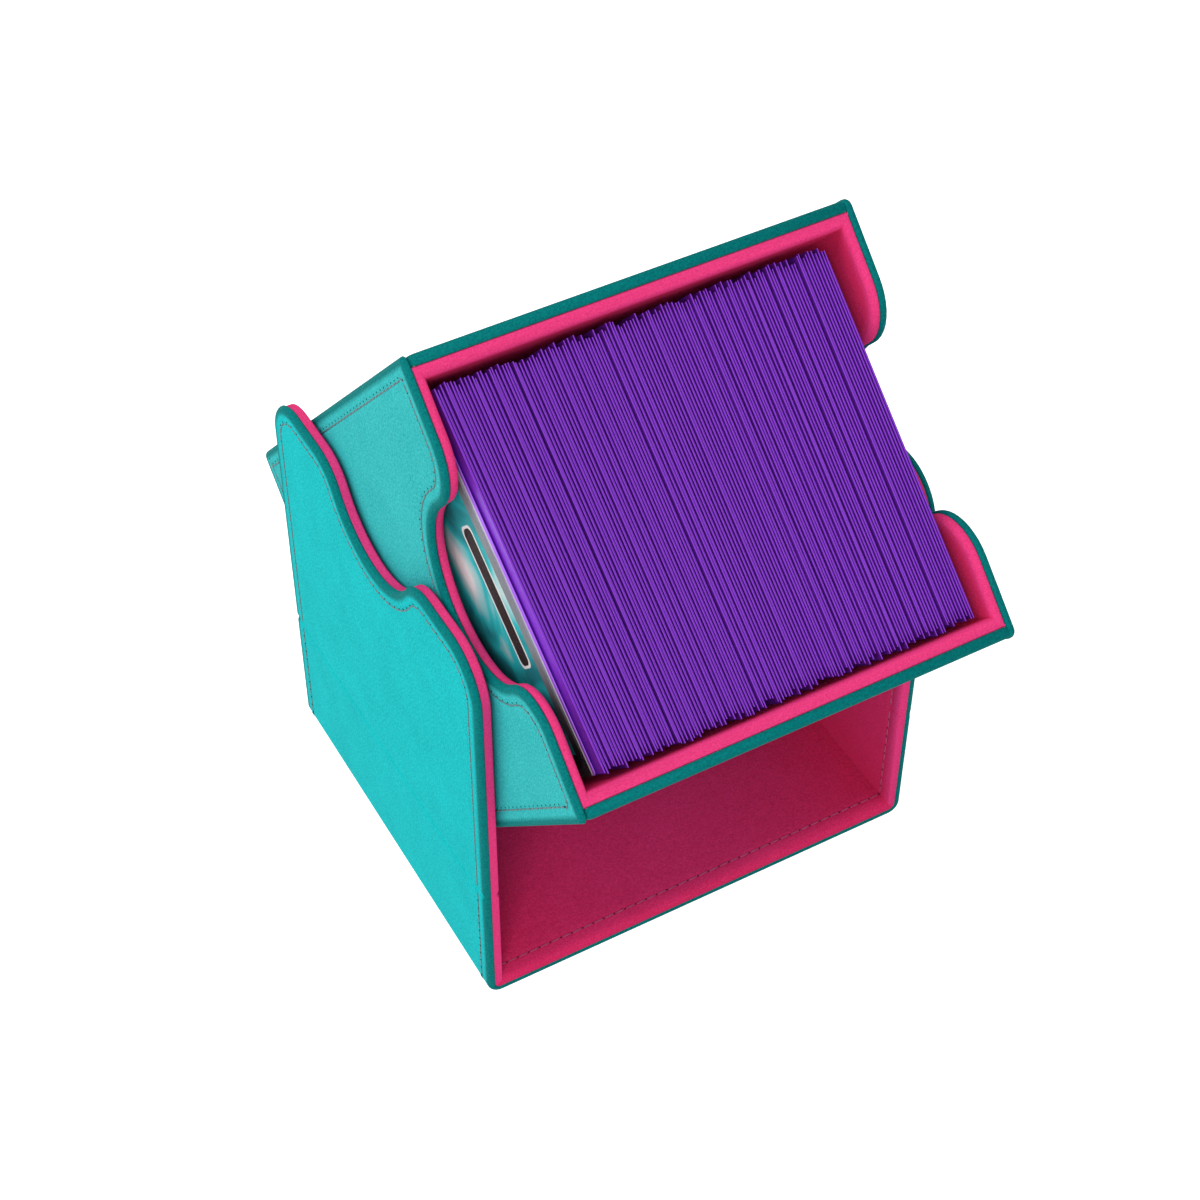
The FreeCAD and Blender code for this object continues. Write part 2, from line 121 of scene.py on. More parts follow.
def map_range(tree, value, source=(0, 1), result=(0, 1)):
    """Value carried from the source range to the result range, and kept within it."""
    carried = tree.nodes.new("ShaderNodeMapRange")
    tree.links.new(value, carried.inputs["Value"])
    for name, limit in zip(("From Min", "From Max", "To Min", "To Max"), (*source, *result)):
        carried.inputs[name].default_value = limit
    return carried.outputs["Result"]


def seen_directly(tree):
    """Light Path mask: 1 where the camera, a reflection or a clear film shows the surface."""
    path = tree.nodes.new("ShaderNodeLightPath")
    mask = path.outputs["Is Camera Ray"]
    for name in ("Is Glossy Ray", "Is Transmission Ray"):
        mask = math_step(tree, "MAXIMUM", mask, path.outputs[name])
    return mask


sky_light = 0.46
world = bpy.data.worlds.new("white_sky")
world.use_nodes = True
bpy.context.scene.world = world
sky = world.node_tree.nodes["Background"]
sky.inputs["Color"].default_value = (1, 1, 1, 1)
sky_strength = map_range(world.node_tree, seen_directly(world.node_tree), result=(sky_light, 1.0))
world.node_tree.links.new(sky_strength, sky.inputs["Strength"])

floor_half = 4.0
floor_glow = 0.9
floor_grey = 0.86
floor_drop = 0.2 * mm
floor_mesh = bpy.data.meshes.new("floor")
floor_signs = [(-1, -1), (1, -1), (1, 1), (-1, 1)]
floor_corners = [(x * floor_half, y * floor_half, -floor_drop) for x, y in floor_signs]
floor_mesh.from_pydata(floor_corners, [], [(0, 1, 2, 3)])
floor = add_object("floor", floor_mesh)
floor_paint = bpy.data.materials.new("floor_paint")
floor_paint.use_nodes = True
floor_tree = floor_paint.node_tree
floor_tree.nodes.remove(floor_tree.nodes["Principled BSDF"])
floor_diffuse = floor_tree.nodes.new("ShaderNodeBsdfDiffuse")
floor_diffuse.inputs["Color"].default_value = (floor_grey, floor_grey, floor_grey, 1)
floor_light = floor_tree.nodes.new("ShaderNodeEmission")
floor_strength = math_step(floor_tree, "MULTIPLY", seen_directly(floor_tree), floor_glow)
floor_sum = floor_tree.nodes.new("ShaderNodeAddShader")
floor_tree.links.new(floor_strength, floor_light.inputs["Strength"])
floor_tree.links.new(floor_diffuse.outputs[0], floor_sum.inputs[0])
floor_tree.links.new(floor_light.outputs[0], floor_sum.inputs[1])
floor_tree.links.new(floor_sum.outputs[0], floor_tree.nodes["Material Output"].inputs["Surface"])
floor_mesh.materials.append(floor_paint)


# Leatherette: teal synthetic suede glued over board, with a fine pebbled grain and a soft mottling.
# Where it turns over an edge it is painted a shade deeper: painted shade on the rounded edges.
def srgb(red, green, blue):
    """Linear colour from 0 to 255 display values."""
    def linear(value):
        value /= 255
        return value / 12.92 if value <= 0.04045 else ((value + 0.055) / 1.055) ** 2.4
    return (linear(red), linear(green), linear(blue), 1.0)


def add_sockets(group, in_out, kind, *names):
    """Inputs or outputs of a node group, all of one kind."""
    for name in names:
        group.interface.new_socket(name, in_out=in_out, socket_type=f"NodeSocket{kind}")


def make_fine_grain():
    """Shader group: Height of a pebbled grain for a bump, its Speckle, and a broad Mottle."""
    group = bpy.data.node_groups.new("fine_grain", "ShaderNodeTree")
    add_sockets(group, "INPUT", "Float", "Grains per Metre", "Patches per Metre")
    add_sockets(group, "OUTPUT", "Float", "Height", "Speckle", "Mottle")
    start = group.nodes.new("NodeGroupInput")
    end = group.nodes.new("NodeGroupOutput")
    place = group.nodes.new("ShaderNodeTexCoord")
    for output, size, detail in (("Speckle", "Grains per Metre", 2.0), ("Mottle", "Patches per Metre", 3.0)):
        noise = group.nodes.new("ShaderNodeTexNoise")
        noise.inputs["Detail"].default_value = detail
        noise.inputs["Roughness"].default_value = 0.6
        group.links.new(place.outputs["Object"], noise.inputs["Vector"])
        group.links.new(start.outputs[size], noise.inputs["Scale"])
        group.links.new(map_range(group, noise.outputs["Fac"], source=(0.3, 0.7)), end.inputs[output])
    pebbles = group.nodes.new("ShaderNodeTexVoronoi")
    pebbles.feature = "SMOOTH_F1"
    group.links.new(place.outputs["Object"], pebbles.inputs["Vector"])
    coarser = math_step(group, "MULTIPLY", start.outputs["Grains per Metre"], 0.5)
    group.links.new(coarser, pebbles.inputs["Scale"])
    group.links.new(pebbles.outputs["Distance"], end.inputs["Height"])
    return group


fine_grain = make_fine_grain()


def mix_colours(tree, factor, first, second):
    """Colour between first and second, each a colour or a socket, by a factor socket."""
    mix = tree.nodes.new("ShaderNodeMix")
    mix.data_type = "RGBA"
    tree.links.new(factor, mix.inputs["Factor"])
    feed(tree, mix.inputs[6], first)
    feed(tree, mix.inputs[7], second)
    return mix.outputs[2]


def start_material(name, grain, patch):
    """New material, its tree, its shader and a fine grain texture with sizes in metres."""
    material = bpy.data.materials.new(name)
    material.use_nodes = True
    tree = material.node_tree
    texture = tree.nodes.new("ShaderNodeGroup")
    texture.node_tree = fine_grain
    texture.inputs["Grains per Metre"].default_value = 1 / grain
    texture.inputs["Patches per Metre"].default_value = 1 / patch
    return material, tree, tree.nodes["Principled BSDF"], texture


def read_attribute(tree, name):
    """Value that the mesh's points have under a name."""
    attribute = tree.nodes.new("ShaderNodeAttribute")
    attribute.attribute_name = name
    return attribute.outputs["Fac"]


def grained_material(name, light, dark, edge, edge_dark, grain, patch, bump, roughness, specular, sheen):
    """Soft grained finish: colours for lit and hollow grain on faces, and a second pair painted on turned
    edges, darker as painted shade on the teal and lighter as a painted highlight on the pink; sizes in
    metres.
    """
    mottle_share = 0.18
    speckle_share = 0.82
    rough_spread = 0.08
    material, tree, shader, texture = start_material(name, grain, patch)
    speckle = texture.outputs["Speckle"]
    blend = math_step(tree, "MULTIPLY_ADD", texture.outputs["Mottle"], mottle_share,
                      math_step(tree, "MULTIPLY", speckle, speckle_share))
    face = mix_colours(tree, blend, dark, light)
    # Turned edges take the edge colours: painted shade on teal, a painted highlight on pink.
    rim = mix_colours(tree, speckle, edge_dark, edge)
    tree.links.new(mix_colours(tree, read_attribute(tree, "edge"), face, rim), shader.inputs["Base Color"])
    rough = map_range(tree, speckle, result=(roughness + rough_spread, roughness - rough_spread))
    tree.links.new(rough, shader.inputs["Roughness"])
    relief = tree.nodes.new("ShaderNodeBump")
    relief.inputs["Strength"].default_value = 0.5
    relief.inputs["Distance"].default_value = bump
    relief.invert = True
    tree.links.new(texture.outputs["Height"], relief.inputs["Height"])
    tree.links.new(relief.outputs["Normal"], shader.inputs["Normal"])
    shader.inputs["Specular IOR Level"].default_value = specular
    shader.inputs["Sheen Weight"].default_value = sheen
    shader.inputs["Sheen Roughness"].default_value = 0.5
    shader.inputs["Sheen Tint"].default_value = light
    return material


# Darker teals for the turned edges: painted shade.
painted_edge_shade_teals = srgb(0, 128, 127), srgb(0, 100, 100)
leather_finish = {
    "grain": 0.36 * mm, "patch": 9.0 * mm, "bump": 0.06 * mm,
    "roughness": 0.75, "specular": 0.06, "sheen": 0.02}
leatherette = grained_material(
    "teal_leatherette", srgb(16, 204, 207), srgb(0, 158, 162), *painted_edge_shade_teals, **leather_finish)


# Cover wrap: one sheet of leatherette runs under the floor, up both sides and over the waved tops.
# It is cut flat, turned over the boards' edges, bent up at the floor and scored at the fold lines.
cover_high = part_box("cover_skin")[1]
flap_low, flap_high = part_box("left_flap_skin")
half_width = cover_high.x
half_depth = cover_high.y
crease = flap_low.z
flap_top = flap_high.z
wrap_wall = flap_high.x - flap_low.x
skin = 0.4 * mm
edge_radius = 1.0 * mm
# Insets where the painted edge colour is full and where it has faded out; they also place rings of the
# profile.
edge_tight = 1.0 * mm
edge_eased = 1.9 * mm
seam_groove = 0.3 * mm
floor_bend = 2.6 * mm
flap_corner = 10.0 * mm
dip_depth = 11.45 * mm
shoulder_radius = 9.5 * mm
shoulder_flat = 8.5 * mm
stitch_inset = 3.2 * mm
channel_half = 0.4 * mm
channel_depth = 0.14 * mm
crease_depth = 0.2 * mm
crease_end_depth = 0.45 * mm
crease_end_reach = 4.0 * mm
crease_half = 1.0 * mm


def arc(centre, radius, start, end, steps):
    """Points of an arc in a panel's own plane, from start to end in degrees."""
    angles = [math.radians(start + (end - start) * step / steps) for step in range(steps + 1)]
    return [(centre[0] + radius * math.cos(a), centre[1] + radius * math.sin(a)) for a in angles]


def mirrored(half, middle=0.0):
    """Closed outline from its half, the last point of which lies on the middle line."""
    return half + [(2 * middle - u, v) for u, v in reversed(half[:-1])]


def flap_outline(inset, foot):
    """Waved side, drawn in by inset on its free edges: depth and height along the sheet."""
    shoulder_reach = half_depth - flap_corner - shoulder_flat
    reach = (shoulder_reach ** 2 / dip_depth + dip_depth) / 2
    dip_radius = reach - shoulder_radius
    lean = math.degrees(math.atan2(reach - dip_depth, shoulder_reach))
    corner = arc((half_depth - flap_corner, flap_top - flap_corner), flap_corner - inset, 0, 90, 14)
    shoulder = arc((shoulder_reach, flap_top - shoulder_radius), shoulder_radius - inset, 90, 180 - lean, 12)
    dip = arc((0, flap_top - dip_depth + dip_radius), dip_radius + inset, -lean, -90, 14)
    return mirrored([(half_depth - inset, foot)] + corner + shoulder + dip[1:])


def quarter_turn(radius, depth, steps=6):
    """Inset and depth round a turned edge, from the edge to the face."""
    angles = [math.pi / 2 * step / steps for step in range(steps + 1)]
    return [(radius * (1 - math.cos(a)), depth * (1 - math.sin(a))) for a in angles]


def wrapped_profile(wall, radius):
    """Section of leatherette over a board: hollow behind, rounded edge, pressed stitch channel."""
    return [
        (skin, skin), (skin, wall), (seam_groove, wall), (0, wall - seam_groove),
        *quarter_turn(radius, radius), (edge_tight, 0), (edge_eased, 0),
        (stitch_inset - channel_half, 0), (stitch_inset, channel_depth), (stitch_inset + channel_half, 0),
        (stitch_inset + 3 * channel_half, 0),
    ]


def skin_rings(mesh, rings):
    """Faces from each ring of vertices to the next, with both ends capped."""
    for low, high in zip(rings, rings[1:]):
        for index in range(len(low)):
            mesh.faces.new((low[index - 1], low[index], high[index], high[index - 1]))
    mesh.faces.new(rings[0])
    mesh.faces.new(rings[-1])


def flat_panel(outline, profile, painted_edge_weight=1.0):
    """Closed panel laid flat: a ring for each inset and depth of the profile, with both ends capped."""
    panel = bmesh.new()
    turned = panel.verts.layers.float.new("edge")
    rings = []
    for inset, depth in profile:
        ring = [panel.verts.new((u, v, depth)) for u, v in outline(inset)]
        for vertex in ring:
            # Edge value: how much of the painted edge colour, painted shade or painted highlight, a vertex
            # takes.
            vertex[turned] = painted_edge_weight * min(1.0, max(0.0, (edge_eased - inset) / (edge_eased - edge_tight)))
        rings.append(ring)
    skin_rings(panel, rings)
    return panel


def slice_panel(panel, point, across, clear):
    """Cut a flat panel along a plane, and clear what lies beyond it if asked."""
    everything = panel.verts[:] + panel.edges[:] + panel.faces[:]
    bmesh.ops.bisect_plane(
        panel, geom=everything, dist=1e-7, plane_co=point, plane_no=across, clear_outer=clear)


def score(panel, rows):
    """Cut rows of vertices across a flat panel, so that it can bend there."""
    for row in rows:
        slice_panel(panel, (0, row, 0), (0, 1, 0), False)


def make_piece(name, material, *placed_panels):
    """Carry flat panels' points into the frame and join them as one object."""
    joined = bmesh.new()
    turned = joined.verts.layers.float.new("edge")
    for panel, place in placed_panels:
        flat_turned = panel.verts.layers.float["edge"]
        carried = {}
        for vertex in panel.verts:
            carried[vertex] = joined.verts.new(place(*vertex.co))
            carried[vertex][turned] = vertex[flat_turned]
        for face in panel.faces:
            joined.faces.new([carried[vertex] for vertex in face.verts])
        panel.free()
    bmesh.ops.remove_doubles(joined, verts=joined.verts[:], dist=0.001 * mm)
    bmesh.ops.recalc_face_normals(joined, faces=joined.faces[:])
    mesh = bpy.data.meshes.new(name)
    joined.to_mesh(mesh)
    joined.free()
    mesh.shade_smooth()
    mesh.set_sharp_from_angle(angle=math.radians(50))
    mesh.materials.append(material)
    return add_object(name, mesh)


bend_length = floor_bend * math.pi / 2
bend_end = floor_bend - bend_length
sheet_middle = bend_end - (half_width - floor_bend)


def wrap_section(hand, v):
    """Point of the sheet's outer face and its outward direction, in X and Z, at length v along it."""
    if v >= floor_bend:
        return Vector((hand * half_width, 0, v)), Vector((hand, 0, 0))
    if v >= bend_end:
        angle = (floor_bend - v) / floor_bend
        outward = Vector((hand * math.cos(angle), 0, -math.sin(angle)))
        return Vector((hand * (half_width - floor_bend), 0, floor_bend)) + outward * floor_bend, outward
    return Vector((hand * (half_width - floor_bend - (bend_end - v)), 0, 0)), Vector((0, 0, -1))


def crease_drop(u, v):
    """Depth of the scored fold line at height v, deeper towards the front and back edges."""
    near_end = max(0.0, 1 - (half_depth - abs(u)) / crease_end_reach)
    depth = crease_depth + (crease_end_depth - crease_depth) * near_end
    return depth * 0.5 * (1 + math.cos(math.pi * min(abs(v - crease) / crease_half, 1)))


crease_rows = [crease + crease_half * step / 4 for step in range(-8, 9)]
bend_rows = [floor_bend - bend_length * step / 8 for step in range(9)]
sides = (("left", -1), ("right", 1))
for side, hand in sides:
    def place_wrap(u, v, depth):
        point, outward = wrap_section(hand, v)
        sunk = depth + (crease_drop(u, v) if depth < skin else 0)
        return point - outward * sunk + Vector((0, u, 0))

    wrap = flat_panel(
        lambda inset: flap_outline(inset, sheet_middle), wrapped_profile(wrap_wall, edge_radius))
    score(wrap, crease_rows + bend_rows)
    piece = make_piece(f"{side}_wrap", leatherette, (wrap, place_wrap))
    fold = Vector((hand * half_width, 0, crease))
    reach = Vector((0, 0, 2 * crease_half))
    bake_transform(piece, "cover", f"{side}_flap", start=fold - reach, end=fold + reach)
    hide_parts("cover_skin", f"{side}_flap_skin")


# Boards: grey pulp board glued inside the leatherette, hidden once the box is made.
# Its face shows short fibres and flecks.
def make_greyboard():
    """Dull pulp board in two greys."""
    material, tree, shader, texture = start_material("greyboard", grain=0.9 * mm, patch=6.0 * mm)
    colour = mix_colours(tree, texture.outputs["Speckle"], srgb(112, 106, 98), srgb(148, 141, 130))
    tree.links.new(colour, shader.inputs["Base Color"])
    shader.inputs["Roughness"].default_value = 0.9
    return material


greyboard = make_greyboard()
for name, node in frame["nodes"].items():
    if name.endswith("_board"):
        node.data.materials.clear()
        node.data.materials.append(greyboard)


# Cover lining: thin foam faced with pink microfibre on the floor and both sides.
# Its edges are drawn down round the boards to a sewn line, and floor and sides meet in a mitre.
# Its edge colours, lighter than the faces, are a painted highlight on the beads and rims.
microfibre = grained_material(
    "pink_microfibre", srgb(246, 56, 116), srgb(204, 32, 84), srgb(248, 72, 140), srgb(226, 52, 116),
    grain=0.28 * mm, patch=7.0 * mm, bump=0.12 * mm, roughness=0.9, specular=0.05, sheen=0.5)
lining_low, lining_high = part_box("left_flap_lining")
side_room = lining_high.x - lining_low.x
lining_gap = lining_low.y + half_depth
floor_low, floor_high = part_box("cover_floor_lining")
floor_pad = floor_high.z - floor_low.z
side_turn = 1.0 * mm
side_bead = 0.15 * mm
side_slack = 0.3 * mm
side_pad = side_room - side_slack
side_foot = 0.8 * side_pad
floor_turn = 2.5 * mm
floor_foot = 0.35 * floor_pad
pad_sew = stitch_inset - lining_gap
pad_channel = 0.3 * mm
pad_lead = 0.4 * mm
crown_lead = 1.2 * mm
crown = 0.02 * mm


def padded_profile(pad, turn, foot, bead):
    """Section of a sewn pad: square foot, rounded bead, stitch channel and a slight crown."""
    rounded = [(inset, pad + bead - drop) for inset, drop in quarter_turn(turn, pad + bead - foot)]
    return [
        (0, 0), *rounded, (pad_sew - pad_channel, pad), (pad_sew, pad - channel_depth),
        (pad_sew + pad_lead, pad), (pad_sew + crown_lead, pad + crown),
    ]


def cut_mitre(panel, point, outward):
    """Cut a flat panel off along a slanting plane, and leave the cut open."""
    slice_panel(panel, point, outward, True)


def close_cuts(panel):
    """Close the cut ends of a flat panel."""
    bmesh.ops.holes_fill(panel, edges=[edge for edge in panel.edges if edge.is_boundary])


seam_x = half_width - wrap_wall
for side, hand in sides:
    def place_side_lining(u, v, height):
        sunk = crease_drop(u, v) if height > 0.5 * side_pad else 0
        return Vector((hand * (seam_x - height + sunk), u, v))

    lining = flat_panel(
        lambda inset: flap_outline(inset + lining_gap, floor_low.z),
        padded_profile(side_pad, side_turn, side_foot, side_bead))
    cut_mitre(lining, (0, floor_low.z, 0), (0, -side_pad, floor_pad))
    close_cuts(lining)
    score(lining, crease_rows)
    piece = make_piece(f"{side}_lining", microfibre, (lining, place_side_lining))
    fold = Vector((hand * seam_x, 0, crease))
    reach = Vector((0, 0, 2 * crease_half))
    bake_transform(piece, "cover", f"{side}_flap", start=fold - reach, end=fold + reach)
    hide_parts(f"cover_{side}_lining", f"{side}_flap_lining")


def floor_outline(inset):
    """Floor pad, drawn in by inset at its open front and back."""
    half = half_depth - lining_gap - inset
    return [(half, -seam_x), (half, seam_x), (-half, seam_x), (-half, -seam_x)]


# The floor pad takes no painted highlight on its edges.
floor_lining = flat_panel(
    floor_outline, padded_profile(floor_pad, floor_turn, floor_foot, 0), painted_edge_weight=0.0)
for hand in (-1, 1):
    cut_mitre(floor_lining, (0, hand * seam_x, 0), (0, hand * floor_pad, side_pad))
close_cuts(floor_lining)
piece = make_piece(
    "floor_lining", microfibre, (floor_lining, lambda u, v, height: Vector((v, u, floor_low.z + height))))
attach(piece, "cover")
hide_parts("cover_floor_lining")


# Stitching: grey thread in a single row all round each edge, through every layer, so it shows on both faces.
# Beside each stitch a dark dot stands for the needle hole: painted shade for its hollow.
stitch_pitch = 2.2 * mm
stitch_length = 2.3 * mm
stitch_thickness = 0.36 * mm
hole_radius = 0.2 * mm
hole_shift = 0.5 * mm
stitch_slant = math.radians(4)


def make_thread(name, light, dark):
    """Thread flecked with two shades."""
    material, tree, shader, texture = start_material(name, grain=0.18 * mm, patch=3.0 * mm)
    tree.links.new(mix_colours(tree, texture.outputs["Speckle"], dark, light), shader.inputs["Base Color"])
    shader.inputs["Roughness"].default_value = 0.6
    return material


def make_hole_shade(name, colour):
    """Dark dot for a needle hole, painted shade for its hollow, flecked with a darker shade."""
    material = make_thread(name, colour, tuple(0.5 * c for c in colour[:3]) + (1.0,))
    material.node_tree.nodes["Principled BSDF"].inputs["Specular IOR Level"].default_value = 0.0
    return material


outer_thread = make_thread("grey_thread", srgb(100, 132, 134), srgb(46, 84, 90))
# Needle-hole dots: painted shade.
outer_hole_shade = make_hole_shade("teal_needle_hole_shade", srgb(0, 62, 62))
inner_thread = make_thread("rose_thread", srgb(206, 78, 126), srgb(160, 50, 92))
inner_hole_shade = make_hole_shade("pink_needle_hole_shade", srgb(140, 26, 68))


def linker(tree):
    """Function that links one node's output to another's input, both by name."""
    def link(source, output, target, entry):
        tree.links.new(source.outputs[output], target.inputs[entry])
    return link


def make_stitch_tree():
    """Geometry nodes: stitches and needle holes at even steps along polylines."""
    tree = bpy.data.node_groups.new("stitch_row", "GeometryNodeTree")
    add_sockets(tree, "INPUT", "Geometry", "Geometry")
    add_sockets(tree, "INPUT", "Float", "Pitch", "Length", "Thickness", "Hole Radius")
    add_sockets(tree, "INPUT", "Material", "Thread", "Hole")
    add_sockets(tree, "OUTPUT", "Geometry", "Geometry")
    node = tree.nodes.new
    link = linker(tree)
    start = node("NodeGroupInput")
    end = node("NodeGroupOutput")
    curve = node("GeometryNodeMeshToCurve")
    steps = node("GeometryNodeResampleCurve")
    steps.mode = "LENGTH"
    points = node("GeometryNodeCurveToPoints")
    points.mode = "EVALUATED"
    link(start, "Geometry", curve, "Mesh")
    link(curve, "Curve", steps, "Curve")
    link(start, "Pitch", steps, "Length")
    link(steps, "Curve", points, "Curve")

    def named_vector(name):
        attribute = node("GeometryNodeInputNamedAttribute")
        attribute.data_type = "FLOAT_VECTOR"
        attribute.inputs["Name"].default_value = name
        return attribute.outputs["Attribute"]

    along = node("FunctionNodeAlignRotationToVector")
    along.axis = "X"
    link(points, "Tangent", along, "Vector")
    upright = node("FunctionNodeAlignRotationToVector")
    upright.axis = "Z"
    upright.pivot_axis = "X"
    link(along, "Rotation", upright, "Rotation")
    tree.links.new(named_vector("face_normal"), upright.inputs["Vector"])

    grain = node("GeometryNodeMeshUVSphere")
    grain.inputs["Segments"].default_value = 8
    grain.inputs["Rings"].default_value = 5
    grain.inputs["Radius"].default_value = 0.5
    size = node("ShaderNodeCombineXYZ")
    link(start, "Length", size, "X")
    link(start, "Thickness", size, "Y")
    link(start, "Thickness", size, "Z")
    stitch = node("GeometryNodeTransform")
    stitch.inputs["Rotation"].default_value = (0, 0, stitch_slant)
    link(grain, "Mesh", stitch, "Geometry")
    link(size, "Vector", stitch, "Scale")
    threads = node("GeometryNodeInstanceOnPoints")
    link(points, "Points", threads, "Points")
    link(stitch, "Geometry", threads, "Instance")
    link(upright, "Rotation", threads, "Rotation")

    half_step = node("ShaderNodeVectorMath")
    half_step.operation = "SCALE"
    link(points, "Tangent", half_step, "Vector")
    tree.links.new(math_step(tree, "MULTIPLY", start.outputs["Pitch"], 0.5), half_step.inputs["Scale"])
    shift = node("ShaderNodeVectorMath")
    shift.operation = "ADD"
    link(half_step, "Vector", shift, 0)
    tree.links.new(named_vector("hole_shift"), shift.inputs[1])
    moved = node("GeometryNodeSetPosition")
    link(points, "Points", moved, "Geometry")
    link(shift, "Vector", moved, "Offset")
    dot = node("GeometryNodeMeshIcoSphere")
    dot.inputs["Subdivisions"].default_value = 1
    link(start, "Hole Radius", dot, "Radius")
    holes = node("GeometryNodeInstanceOnPoints")
    link(moved, "Geometry", holes, "Points")
    link(dot, "Mesh", holes, "Instance")

    both = node("GeometryNodeJoinGeometry")
    for instances, name in ((threads, "Thread"), (holes, "Hole")):
        real = node("GeometryNodeRealizeInstances")
        paint = node("GeometryNodeSetMaterial")
        link(instances, "Instances", real, "Geometry")
        link(real, "Geometry", paint, "Geometry")
        link(start, name, paint, "Material")
        link(paint, "Geometry", both, "Geometry")
    link(both, "Geometry", end, "Geometry")
    return tree


def set_inputs(modifier, values):
    """Set a Geometry Nodes modifier's inputs by the names of its sockets."""
    for socket in modifier.node_group.interface.items_tree:
        if socket.in_out == "INPUT" and socket.name in values:
            modifier[socket.identifier] = values[socket.name]


def settle_nodes(piece):
    """Turn a piece's Geometry Nodes result into its own plain mesh."""
    graph = bpy.context.evaluated_depsgraph_get()
    mesh = bpy.data.meshes.new_from_object(piece.evaluated_get(graph))
    piece.modifiers.clear()
    piece.data = mesh


stitch_tree = make_stitch_tree()


def sew(name, rows, body, thread, hole):
    """Stitches along rows of (points, normals, hole shift), as one piece on a body."""
    mesh = bpy.data.meshes.new(name)
    places = [point for points, normals, shift in rows for point in points]
    facing = [normal for points, normals, shift in rows for normal in normals]
    shifts = [shift for points, normals, shift in rows for point in points]
    edges = []
    first = 0
    for points, normals, shift in rows:
        edges += [(index, index + 1) for index in range(first, first + len(points) - 1)]
        first += len(points)
    mesh.from_pydata(places, edges, [])
    for label, vectors in (("face_normal", facing), ("hole_shift", shifts)):
        attribute = mesh.attributes.new(label, "FLOAT_VECTOR", "POINT")
        for item, vector in zip(attribute.data, vectors):
            item.vector = vector
    piece = add_object(name, mesh)
    modifier = piece.modifiers.new("stitch_row", "NODES")
    modifier.node_group = stitch_tree
    set_inputs(modifier, {
        "Pitch": stitch_pitch, "Length": stitch_length, "Thickness": stitch_thickness,
        "Hole Radius": hole_radius, "Thread": thread, "Hole": hole})
    settle_nodes(piece)
    piece.data.shade_smooth()
    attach(piece, body)


stitch_proud = 0.05 * mm
stitch_lift = channel_depth - stitch_proud
crease_clear = 2.0 * mm
middle_clear = 1.1 * mm
corner_clear = 1.2 * mm
unshifted = Vector((0, 0, 0))
up_shift = Vector((0, 0, hole_shift))
outer_rows = []
inner_rows = []
sewn_y = half_depth - stitch_inset
inner_face = seam_x - side_pad
for side, hand in sides:
    outward = Vector((hand, 0, 0))
    wave = flap_outline(stitch_inset, crease + crease_clear)
    outer_points = [Vector((hand * (half_width - stitch_lift), y, z)) for y, z in wave]
    inner_points = [Vector((hand * (inner_face + stitch_lift), y, z)) for y, z in wave]
    sew(f"{side}_flap_outer_stitching", [(outer_points, [outward] * len(wave), up_shift)],
        f"{side}_flap", outer_thread, outer_hole_shade)
    sew(f"{side}_flap_inner_stitching", [(inner_points, [-outward] * len(wave), up_shift)],
        f"{side}_flap", inner_thread, inner_hole_shade)
    lengths = [crease - crease_clear, floor_bend] + bend_rows[1:] + [sheet_middle + middle_clear]
    for y in (-sewn_y, sewn_y):
        sections = [wrap_section(hand, v) for v in lengths]
        points = [point - normal * stitch_lift + Vector((0, y, 0)) for point, normal in sections]
        outer_rows.append((points, [normal for point, normal in sections], unshifted))
        ends = (crease - crease_clear, floor_high.z + corner_clear)
        points = [Vector((hand * (inner_face + stitch_lift), y, z)) for z in ends]
        inner_rows.append((points, [-outward] * 2, unshifted))
for y in (-sewn_y, sewn_y):
    ends = (-inner_face + corner_clear, inner_face - corner_clear)
    points = [Vector((x, y, floor_high.z - stitch_lift)) for x in ends]
    inner_rows.append((points, [Vector((0, 0, 1))] * 2, unshifted))
sew("cover_outer_stitching", outer_rows, "cover", outer_thread, outer_hole_shade)
sew("cover_inner_stitching", inner_rows, "cover", inner_thread, inner_hole_shade)


# Drawer walls: five wrapped boards, the two notched sides standing a little proud of the rest.
# They are drawn upright and then leaned forward, as the drawer rests in the cover.
lift_joint = next(joint for joint in frame["joints"] if joint["name"] == "drawer_lift")
lift_axis = Vector(lift_joint["axis"])
drawer_lean = Matrix.Rotation(math.atan2(-lift_axis.y, lift_axis.z), 4, "X")


def upright_box(node):
    """Lowest and highest corners of a node of the drawer, with the drawer turned upright."""
    upright = drawer_lean.inverted()
    points = [upright @ vertex.co for vertex in frame["nodes"][node].data.vertices]
    low = Vector([min(point[axis] for point in points) for axis in range(3)])
    high = Vector([max(point[axis] for point in points) for axis in range(3)])
    return low, high


side_low, side_high = upright_box("drawer_right_skin")
rim = side_high.z
side_middle = (side_low.y + side_high.y) / 2
side_corner = 1.5 * mm
least_corner = 0.05 * mm
side_wall = side_high.x - side_low.x
side_round = 0.9 * mm
turn_in = {"left": 0.0, "right": 0.25 * mm}
notch_radius = 15.0 * mm
notch_throat = 0.5 * mm
notch_shoulder = 9.5 * mm


def notch_half(inset):
    """Back half of a thumb notch, from the rim to its lowest point."""
    foot = rim - notch_shoulder - notch_throat
    centre = (side_middle + notch_radius + notch_shoulder, rim - notch_shoulder)
    shoulder = arc(centre, notch_shoulder - inset, 90, 180, 10)
    return shoulder + arc((side_middle, foot), notch_radius + inset, 0, -90, 14)


def side_outline(inset):
    """Notched side with small rounded corners, drawn in by inset all round."""
    centre = max(side_corner, inset + least_corner)
    radius = centre - inset
    back = side_high.y - centre
    half = arc((back, side_low.z + centre), radius, -90, 0, 5) + arc((back, rim - centre), radius, 0, 90, 5)
    return mirrored(half + notch_half(inset), side_middle)


